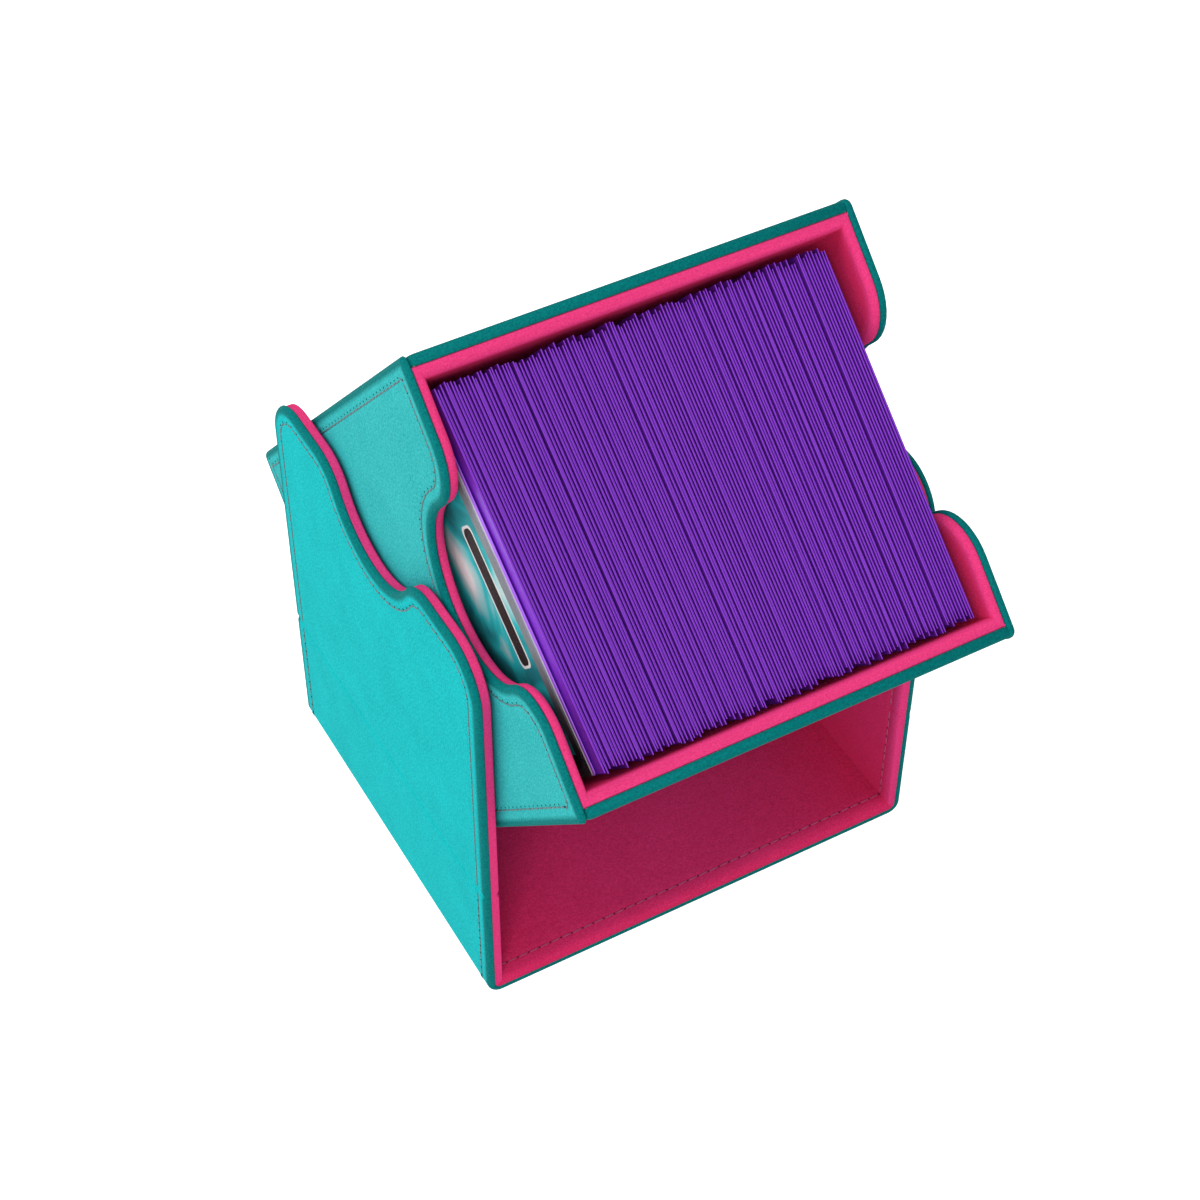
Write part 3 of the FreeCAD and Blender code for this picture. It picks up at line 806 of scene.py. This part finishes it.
# The side walls' leatherette is painted paler and greyer than the cover's: a painted sheen on the same teal.
drawer_leatherette_painted_sheen = grained_material(
    "drawer_leatherette_painted_sheen", srgb(66, 198, 199), srgb(26, 152, 154), *painted_edge_shade_teals, **leather_finish)
for side, hand in sides:
    wall = flat_panel(side_outline, wrapped_profile(side_wall + turn_in[side], side_round))
    piece = make_piece(f"drawer_{side}_wall", drawer_leatherette_painted_sheen, (
        wall, lambda u, v, depth: drawer_lean @ Vector((hand * (side_high.x - depth), u, v))))
    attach(piece, "drawer")
    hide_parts(f"drawer_{side}_skin")

end_round = 0.8 * mm
seam_cut = 0.6 * mm


def plain_wrapped_profile(wall):
    """Section of leatherette over a board with no sewn line."""
    return [
        (skin, skin), (skin, wall), (seam_groove, wall), (0, wall - seam_groove),
        *quarter_turn(end_round, end_round), (edge_tight, 0), (edge_eased, 0),
    ]


for end, inward in (("front", 1), ("back", -1)):
    wall_low, wall_high = upright_box(f"drawer_{end}_skin")
    outer_y = wall_low.y if inward > 0 else wall_high.y

    def wall_outline(inset):
        """Plain wall, drawn in by inset all round, with its top corners cut off at the seams."""
        left, right = wall_low.x + inset, wall_high.x - inset
        foot, top = wall_low.z + inset, wall_high.z - inset
        return [(left, foot), (right, foot), (right, top - seam_cut), (right - seam_cut, top),
                (left + seam_cut, top), (left, top - seam_cut)]

    wall = flat_panel(wall_outline, plain_wrapped_profile(wall_high.y - wall_low.y))
    piece = make_piece(f"drawer_{end}_wall", leatherette, (
        wall, lambda u, v, depth: drawer_lean @ Vector((u, outer_y + inward * depth, v))))
    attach(piece, "drawer")
    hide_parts(f"drawer_{end}_skin")

base_low, base_high = upright_box("drawer_base_skin")


def floor_plan(low, high):
    """Outline of a box seen from above, drawn in by inset all round."""
    def outline(inset):
        left, right = low.x + inset, high.x - inset
        front, back = low.y + inset, high.y - inset
        return [(left, front), (right, front), (right, back), (left, back)]
    return outline


base = flat_panel(floor_plan(base_low, base_high), plain_wrapped_profile(base_high.z - base_low.z))
piece = make_piece("drawer_closed_end", leatherette, (
    base, lambda u, v, depth: drawer_lean @ Vector((u, v, base_low.z + depth))))
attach(piece, "drawer")
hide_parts("drawer_base_skin")

side_row = side_outline(stitch_inset)
side_row = side_row + side_row[:1]
back_shift = drawer_lean @ Vector((0, hole_shift, 0))
sewn_rows = []
for hand in (-1, 1):
    points = [drawer_lean @ Vector((hand * (side_high.x - stitch_lift), y, z)) for y, z in side_row]
    sewn_rows.append((points, [Vector((hand, 0, 0))] * len(points), back_shift))
sew("drawer_stitching", sewn_rows, "drawer", outer_thread, outer_hole_shade)


# Drawer lining: foam pads faced with the same microfibre, mitred and joined at the corners, so that the
# rim reads as one rounded pink frame inside the teal one, and a thicker pad under the cards.
liner_low, liner_high = upright_box("drawer_right_lining")
front_low, front_high = upright_box("drawer_front_lining")
side_liner = liner_high.x - liner_low.x
end_liner = front_high.y - front_low.y
rim_gap = rim - liner_high.z
rim_round = 1.2 * mm
rim_ease = 0.3 * mm
rim_fall = 0.6
liner_face_inset = 2.5 * mm


def rim_profile(pad, foot):
    """Section of a rim pad from foot inward: eased beside the teal wall, rounded into the drawer."""
    inner = [(inset, pad - drop) for inset, drop in quarter_turn(rim_round, rim_fall * pad)]
    eased = [(rim_ease, foot), (0.1 * rim_ease, foot + 0.07 * pad), (0, foot + 0.17 * pad)]
    return [*eased, *inner, (liner_face_inset, pad)]


def side_liner_outline(inset):
    """Notched pad that runs the drawer's full depth, drawn in at the rim only."""
    half = [(liner_high.y, liner_low.z), (liner_high.y, liner_high.z - inset)] + notch_half(inset + rim_gap)
    return mirrored(half, side_middle)


def end_liner_outline(inset):
    """Plain pad that runs the drawer's full width, drawn in at the rim only."""
    top = liner_high.z - inset
    reach = liner_high.x
    return [(-reach, liner_low.z), (reach, liner_low.z), (reach, top), (-reach, top)]


def place_side_liner(hand):
    return lambda u, v, height: drawer_lean @ Vector((hand * (liner_high.x - height), u, v))


def place_end_liner(seam_y, inward):
    return lambda u, v, height: drawer_lean @ Vector((u, seam_y + inward * height, v))


def declare_liner(piece, *nodes):
    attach(piece, "drawer")
    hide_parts(*nodes)


# The rim's turned edge takes the lighter edge pink: a painted highlight.
rim_panels = []
for side, hand in sides:
    liner = flat_panel(side_liner_outline, rim_profile(side_liner, turn_in[side]))
    cut_mitre(liner, (liner_high.y, 0, 0), (side_liner, 0, end_liner))
    cut_mitre(liner, (liner_low.y, 0, 0), (-side_liner, 0, end_liner))
    rim_panels.append((liner, place_side_liner(hand)))
for seam_y, inward in ((liner_low.y, 1), (liner_high.y, -1)):
    liner = flat_panel(end_liner_outline, rim_profile(end_liner, 0))
    for hand in (-1, 1):
        cut_mitre(liner, (hand * liner_high.x, 0, 0), (hand * end_liner, 0, side_liner))
    rim_panels.append((liner, place_end_liner(seam_y, inward)))
piece = make_piece("drawer_lining", microfibre, *rim_panels)
declare_liner(
    piece, "drawer_left_lining", "drawer_right_lining", "drawer_front_lining", "drawer_back_lining")

pad_low, pad_high = upright_box("drawer_base_lining")
pad_crown = 0.4 * mm
pad_round = 1.2 * mm
pad_slope = 6 * mm
pad_level = 14 * mm
pad_height = pad_high.z - pad_low.z
pad_edge = [(inset, pad_height - pad_crown - drop) for inset, drop in quarter_turn(pad_round, pad_round)]
base_pad = flat_panel(
    floor_plan(pad_low, pad_high),
    [(0, 0), *pad_edge, (pad_slope, pad_height - 0.3 * pad_crown), (pad_level, pad_height)])
piece = make_piece("drawer_base_pad", microfibre, (
    base_pad, lambda u, v, height: drawer_lean @ Vector((u, v, pad_low.z + height))))
declare_liner(piece, "drawer_base_lining")


# Deck: violet card sleeves standing on the closed end, open at the top, a card inside each.
# Their side edges are welded flat, and each one steps and leans a little, so the stack's ends are ragged.
deck_low, deck_high = upright_box("sleeved_cards")
sleeve_low, sleeve_high = upright_box("face_sleeve_back")
sleeve_pitch = 0.584 * mm
solid_sleeve = 0.5 * mm
sleeve_thick = 0.43 * mm
film = 0.14 * mm
weld_reach = 2.0 * mm
film_lip = 0.15 * mm
film_step = 0.3 * mm
throat = 0.5 * mm
solid_rise = 0.7 * mm
sleeve_scant = 0.35 * mm
deck_slip = 0.4 * mm
first_turn = math.radians(2.8)
last_turn = math.radians(1.35)
# Heights over which the film's grey left face goes from painted shadow to its full grey.
backing_dark = 79.0 * mm
backing_lit = 91.0 * mm
sleeve_count = round((deck_high.x - deck_low.x - solid_sleeve) / sleeve_pitch) + 1


def make_violet(name, face, edge, inside=None):
    """Matt violet film with a painted highlight along its cut edge and painted shade by its shade value;
    inside colours its left face, with painted shadow lower down.
    """
    shade = 0.4
    grain_share = 0.25
    material, tree, shader, texture = start_material(name, grain=0.3 * mm, patch=5.0 * mm)
    cut = read_attribute(tree, "edge")
    darker = tuple(shade * c for c in face[:3]) + (1.0,)
    painted_shade_face = mix_colours(tree, read_attribute(tree, "painted_sleeve_shade"), face, darker)
    grain = math_step(tree, "MULTIPLY", texture.outputs["Speckle"], grain_share)
    colour = mix_colours(tree, cut, mix_colours(tree, grain, painted_shade_face, face), edge)
    if inside:
        place = tree.nodes.new("ShaderNodeTexCoord")
        facing = tree.nodes.new("ShaderNodeSeparateXYZ")
        tree.links.new(place.outputs["Normal"], facing.inputs["Vector"])
        leftward = math_step(tree, "LESS_THAN", facing.outputs["X"], -0.5)
        backed = math_step(tree, "MAXIMUM", math_step(tree, "SUBTRACT", leftward, cut), 0)
        height = tree.nodes.new("ShaderNodeSeparateXYZ")
        tree.links.new(place.outputs["Object"], height.inputs["Vector"])
        # Painted shadow: the grey left face is darker lower down.
        lit = map_range(tree, height.outputs["Z"], source=(backing_dark, backing_lit))
        colour = mix_colours(tree, backed, colour, mix_colours(tree, lit, srgb(24, 22, 26), inside))
    tree.links.new(colour, shader.inputs["Base Color"])
    shader.inputs["Roughness"].default_value = 0.42
    shader.inputs["Specular IOR Level"].default_value = 0.4
    relief = tree.nodes.new("ShaderNodeBump")
    relief.inputs["Strength"].default_value = 0.25
    relief.inputs["Distance"].default_value = 0.03 * mm
    tree.links.new(texture.outputs["Height"], relief.inputs["Height"])
    tree.links.new(relief.outputs["Normal"], shader.inputs["Normal"])
    return material


# The second colour is a painted highlight on the sleeves' top edges.
violet_film = make_violet("violet_sleeve", srgb(122, 40, 194), srgb(146, 58, 222))


def make_sleeve():
    """One sleeve about its middle: two films welded at their side edges, closed over a card between them."""
    half = (sleeve_high.y - sleeve_low.y) / 2 - sleeve_scant
    tall = deck_high.z - deck_low.z - solid_rise
    gape = sleeve_thick / 2
    stations = [(-half, film), (-half + weld_reach, gape), (half - weld_reach, gape), (half, film)]
    sleeve = bmesh.new()
    bright = sleeve.verts.layers.float.new("edge")

    def add_slab(sections):
        """Closed bar through sections, each a list of x, y, z and brightness."""
        rings = []
        for section in sections:
            ring = [sleeve.verts.new((x, y, z)) for x, y, z, shine in section]
            for vertex, (x, y, z, shine) in zip(ring, section):
                vertex[bright] = shine
            rings.append(ring)
        skin_rings(sleeve, rings)

    # The films' top edges take the painted highlight, the lower right film less.
    for hand, top, shine in ((-1, tall, 1.0), (1, tall - film_step, 0.6)):
        add_slab([[
            (hand * gap, y, 0, 0), (hand * gap, y, top - film_lip, 0),
            (hand * gap, y, top, shine), (hand * (gap - film), y, top, shine),
            (hand * (gap - film), y, top - film_lip, 0), (hand * (gap - film), y, 0, 0),
        ] for y, gap in stations])
    card_half = gape - film
    add_slab([[
        (-card_half, y, 0, 0), (-card_half, y, tall - throat, 0), (card_half, y, tall - throat, 0),
        (card_half, y, 0, 0)] for y in (-half + weld_reach, half - weld_reach)])
    bmesh.ops.recalc_face_normals(sleeve, faces=sleeve.faces[:])
    mesh = bpy.data.meshes.new("sleeve")
    sleeve.to_mesh(mesh)
    sleeve.free()
    return mesh


def make_deck_tree():
    """Geometry nodes: a row of sleeves fanned askew, each stepped aside, raised and leaned by chance, and
    each behind the first painted darker by chance as painted shade.
    """
    tree = bpy.data.node_groups.new("card_row", "GeometryNodeTree")
    add_sockets(tree, "INPUT", "Geometry", "Geometry")
    add_sockets(tree, "INPUT", "Int", "Count")
    add_sockets(
        tree, "INPUT", "Float", "Pitch", "Side Step", "Spread", "Rise", "Lean", "First Turn", "Turn Step")
    add_sockets(tree, "INPUT", "Vector", "First Card")
    add_sockets(tree, "INPUT", "Material", "Film")
    add_sockets(tree, "OUTPUT", "Geometry", "Geometry")
    node = tree.nodes.new
    link = linker(tree)
    start = node("NodeGroupInput")
    end = node("NodeGroupOutput")
    row = node("GeometryNodeMeshLine")
    step = node("ShaderNodeCombineXYZ")
    link(start, "Pitch", step, "X")
    link(start, "Count", row, "Count")
    link(start, "First Card", row, "Start Location")
    link(step, "Vector", row, "Offset")
    index = node("GeometryNodeInputIndex")

    def chance(low, high, seed):
        value = node("FunctionNodeRandomValue")
        value.data_type = "FLOAT"
        value.inputs[2].default_value = low
        value.inputs[3].default_value = high
        value.inputs["Seed"].default_value = seed
        link(index, "Index", value, "ID")
        return value.outputs[1]

    def scaled(value, name):
        return math_step(tree, "MULTIPLY", value, start.outputs[name])

    offset = node("ShaderNodeCombineXYZ")
    tree.links.new(scaled(chance(-1.0, 1.0, 12), "Spread"), offset.inputs["X"])
    tree.links.new(scaled(chance(-1.0, 1.0, 11), "Side Step"), offset.inputs["Y"])
    cubed = math_step(tree, "POWER", chance(0.0, 1.0, 13), 3.0)
    tree.links.new(scaled(cubed, "Rise"), offset.inputs["Z"])
    stepped = node("GeometryNodeSetPosition")
    link(row, "Mesh", stepped, "Geometry")
    link(offset, "Vector", stepped, "Offset")
    turn = node("ShaderNodeCombineXYZ")
    tree.links.new(scaled(chance(-1.0, 1.0, 14), "Lean"), turn.inputs["Y"])
    fanned = scaled(index.outputs["Index"], "Turn Step")
    tree.links.new(math_step(tree, "ADD", fanned, start.outputs["First Turn"]), turn.inputs["Z"])
    cards = node("GeometryNodeInstanceOnPoints")
    link(stepped, "Geometry", cards, "Points")
    link(start, "Geometry", cards, "Instance")
    link(turn, "Vector", cards, "Rotation")
    # Every sleeve behind the first is painted darker by a random share: painted shade; the first keeps the
    # full colour.
    painted_sleeve_shade = node("GeometryNodeStoreNamedAttribute")
    painted_sleeve_shade.data_type = "FLOAT"
    painted_sleeve_shade.domain = "INSTANCE"
    painted_sleeve_shade.inputs["Name"].default_value = "painted_sleeve_shade"
    link(cards, "Instances", painted_sleeve_shade, "Geometry")
    behind = math_step(tree, "MINIMUM", index.outputs["Index"], 1.0)
    tree.links.new(math_step(tree, "MULTIPLY", behind, chance(0.72, 1.0, 15)), painted_sleeve_shade.inputs["Value"])
    real = node("GeometryNodeRealizeInstances")
    paint = node("GeometryNodeSetMaterial")
    link(painted_sleeve_shade, "Geometry", real, "Geometry")
    link(real, "Geometry", paint, "Geometry")
    link(start, "Film", paint, "Material")
    link(paint, "Geometry", end, "Geometry")
    return tree


deck = add_object("card_deck", make_sleeve())
deck_row = deck.modifiers.new("card_row", "NODES")
deck_row.node_group = make_deck_tree()
set_inputs(deck_row, {
    "Count": sleeve_count, "Pitch": sleeve_pitch, "Side Step": 0.7 * mm, "Spread": 0.02 * mm,
    "Rise": 0.5 * mm, "Lean": math.radians(0.05), "First Turn": first_turn,
    "Turn Step": (last_turn - first_turn) / (sleeve_count - 1),
    "First Card": (deck_low.x + solid_sleeve / 2, side_middle - deck_slip, deck_low.z), "Film": violet_film})
settle_nodes(deck)
deck.data.transform(drawer_lean)
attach(deck, "deck")
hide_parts("sleeved_cards")


# Face card: the card that shows in the left notch, in a sleeve with a clear front and a violet back,
# and it lies askew with the first sleeves. Its print is a plain generic one: a black border with a painted
# reflection that greys it towards the back, a bare dark name plate and a soft teal and white wash.
card_low, card_high = upright_box("face_card")
card_corner = 3.0 * mm
card_middle = Vector(((card_low.x + card_high.x) / 2, side_middle, 0))
card_spin = Matrix.Rotation(first_turn, 4, "Z")
card_turn = drawer_lean @ Matrix.Translation(card_middle) @ card_spin @ Matrix.Translation(-card_middle)
border = 2.4 * mm
border_dark = 3.0 * mm
border_lit = 22.0 * mm
plate_drop = 7.0 * mm
plate_aside = 1.35 * mm
plate_half_length = 12.45 * mm
plate_half_height = 2.4 * mm
plate_line = 0.5 * mm
plate_corner = 1.3 * mm
glow_aside = 3.5 * mm
glow_drop = 16.0 * mm
glow_half_length = 11.0 * mm
glow_half_height = 7.0 * mm
glow_gain = 0.45


def card_outline(low, high, corner, steps):
    """Outline of an upright box seen from its left, with rounded corners, drawn in by inset all round."""
    def outline(inset):
        radius = corner - inset
        front, back = low.y + corner, high.y - corner
        foot, top = low.z + corner, high.z - corner
        return (arc((back, foot), radius, -90, 0, steps) + arc((back, top), radius, 0, 90, steps)
                + arc((front, top), radius, 90, 180, steps) + arc((front, foot), radius, 180, 270, steps))
    return outline


def make_card_print():
    """Print in the card's own UV map: u across from its front edge, v down from its top edge, in metres."""
    material = bpy.data.materials.new("card_print")
    material.use_nodes = True
    tree = material.node_tree
    shader = tree.nodes["Principled BSDF"]
    place = tree.nodes.new("ShaderNodeUVMap")
    place.uv_map = "print"
    split = tree.nodes.new("ShaderNodeSeparateXYZ")
    tree.links.new(place.outputs["UV"], split.inputs["Vector"])

    def reckon(operation, *values):
        return math_step(tree, operation, *values)

    def off_centre(centre_u, centre_v):
        """Distances across and down the print from a point of it."""
        across = reckon("ABSOLUTE", reckon("SUBTRACT", split.outputs["X"], centre_u))
        down = reckon("ABSOLUTE", reckon("SUBTRACT", split.outputs["Y"], centre_v))
        return across, down

    def length(first, second):
        squares = reckon("ADD", reckon("MULTIPLY", first, first), reckon("MULTIPLY", second, second))
        return reckon("SQRT", squares)

    def rounded_box(centre_u, centre_v, half_u, half_v):
        """1 inside a box of the print with rounded corners."""
        across, down = off_centre(centre_u, centre_v)
        over = reckon("MAXIMUM", reckon("SUBTRACT", across, half_u - plate_corner), 0)
        under = reckon("MAXIMUM", reckon("SUBTRACT", down, half_v - plate_corner), 0)
        return reckon("LESS_THAN", length(over, under), plate_corner)

    width = card_high.y - card_low.y
    tall = card_high.z - card_low.z
    wash = tree.nodes.new("ShaderNodeTexNoise")
    wash.inputs["Scale"].default_value = 55.0
    wash.inputs["Detail"].default_value = 3.0
    wash.inputs["Distortion"].default_value = 0.8
    tree.links.new(place.outputs["UV"], wash.inputs["Vector"])
    ramp = tree.nodes.new("ShaderNodeValToRGB")
    ramp.color_ramp.elements[0].position = 0.38
    ramp.color_ramp.elements[0].color = srgb(0, 128, 138)
    ramp.color_ramp.elements[1].position = 0.78
    ramp.color_ramp.elements[1].color = srgb(255, 255, 255)
    middle = ramp.color_ramp.elements.new(0.52)
    middle.color = srgb(20, 206, 210)
    across, down = off_centre(width / 2 + glow_aside, glow_drop)
    reach = length(reckon("DIVIDE", across, glow_half_length), reckon("DIVIDE", down, glow_half_height))
    glow = reckon("MAXIMUM", reckon("SUBTRACT", 1.0, reach), 0)
    washed = reckon("ADD", wash.outputs["Fac"], reckon("MULTIPLY", glow, glow_gain))
    tree.links.new(washed, ramp.inputs["Fac"])
    across, down = off_centre(width / 2, tall / 2)
    inside_u = reckon("LESS_THAN", across, width / 2 - border)
    inside_v = reckon("LESS_THAN", down, tall / 2 - border)
    picture = reckon("MULTIPLY", inside_u, inside_v)
    # Painted reflection: the black border greys towards the back of the card.
    lit = map_range(tree, split.outputs["X"], source=(border_dark, border_lit))
    border_painted_reflection = mix_colours(tree, lit, srgb(24, 22, 26), srgb(138, 142, 148))
    colour = mix_colours(tree, picture, border_painted_reflection, ramp.outputs["Color"])
    plate_u = width / 2 - plate_aside
    outline = rounded_box(plate_u, plate_drop, plate_half_length, plate_half_height)
    colour = mix_colours(tree, outline, colour, srgb(250, 250, 248))
    plate = rounded_box(plate_u, plate_drop, plate_half_length - plate_line, plate_half_height - plate_line)
    colour = mix_colours(tree, plate, colour, srgb(26, 16, 10))
    tree.links.new(colour, shader.inputs["Base Color"])
    shader.inputs["Roughness"].default_value = 0.4
    shader.inputs["Specular IOR Level"].default_value = 0.1
    return material


card = flat_panel(
    card_outline(card_low, card_high, card_corner, 6), [(0, 0), (0, card_high.x - card_low.x)])
face_card = make_piece("face_card_print", make_card_print(), (
    card, lambda u, v, depth: card_turn @ Vector((card_high.x - depth, u, v))))
card_map = face_card.data.uv_layers.new(name="print")
to_upright = card_turn.inverted()
for loop in face_card.data.loops:
    point = to_upright @ face_card.data.vertices[loop.vertex_index].co
    card_map.data[loop.index].uv = (point.y - card_low.y, card_high.z - point.z)
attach(face_card, "face_card")
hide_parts("face_card")


def make_clear_film():
    """Clear glossy film with faint haze, and a cut edge drawn opaque and pale as a painted highlight."""
    material, tree, shader, texture = start_material("clear_film", grain=0.5 * mm, patch=12.0 * mm)
    mottle = texture.outputs["Mottle"]
    colour = mix_colours(tree, mottle, srgb(205, 208, 212), srgb(228, 230, 234))
    tree.links.new(colour, shader.inputs["Base Color"])
    haze = map_range(tree, mottle, result=(0.02, 0.04))
    # The cut edge is drawn opaque and pale: a painted highlight.
    tree.links.new(math_step(tree, "MAXIMUM", haze, read_attribute(tree, "edge")), shader.inputs["Alpha"])
    shader.inputs["Roughness"].default_value = 0.12
    shader.inputs["Specular IOR Level"].default_value = 0.3
    return material


film_corner = 0.8 * mm
film_cut = 0.2 * mm
# Painted highlight along the films' top edges: how deep it reaches and how strong it is.
shine_depth = {"front": 0.15 * mm, "back": 1.0 * mm}
edge_shine = {"front": 0.7, "back": 1.0}
film_outline = card_outline(sleeve_low, sleeve_high, film_corner, 3)
clear_film = make_clear_film()
# The face card's back film is a lighter copy of the sleeve violet, painted light, with a brighter painted
# highlight on its cut edge.
backed_film_painted_light = make_violet("backed_violet_film_painted_light", srgb(140, 60, 216), srgb(186, 112, 250), srgb(138, 142, 148))
for end, material, slot in (("front", clear_film, "clear_film"), ("back", backed_film_painted_light, "violet_sleeve")):
    film_low, film_high = upright_box(f"face_sleeve_{end}")
    film_thick = film_high.x - film_low.x
    panel = flat_panel(film_outline, [(0, 0), (0, film_thick), (film_cut, film_thick)], painted_edge_weight=0.0)
    shine_foot = film_high.z - shine_depth[end]
    score(panel, [shine_foot, shine_foot - film_cut])
    shine = panel.verts.layers.float["edge"]
    for vertex in panel.verts:
        vertex[shine] = edge_shine[end] if vertex.co.y > shine_foot - 0.5 * film_cut else 0.0
    piece = make_piece(f"face_sleeve_{end}_film", material, (
        panel, lambda u, v, depth: card_turn @ Vector((film_high.x - depth, u, v))))
    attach(piece, "face_card")
    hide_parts(f"face_sleeve_{end}")
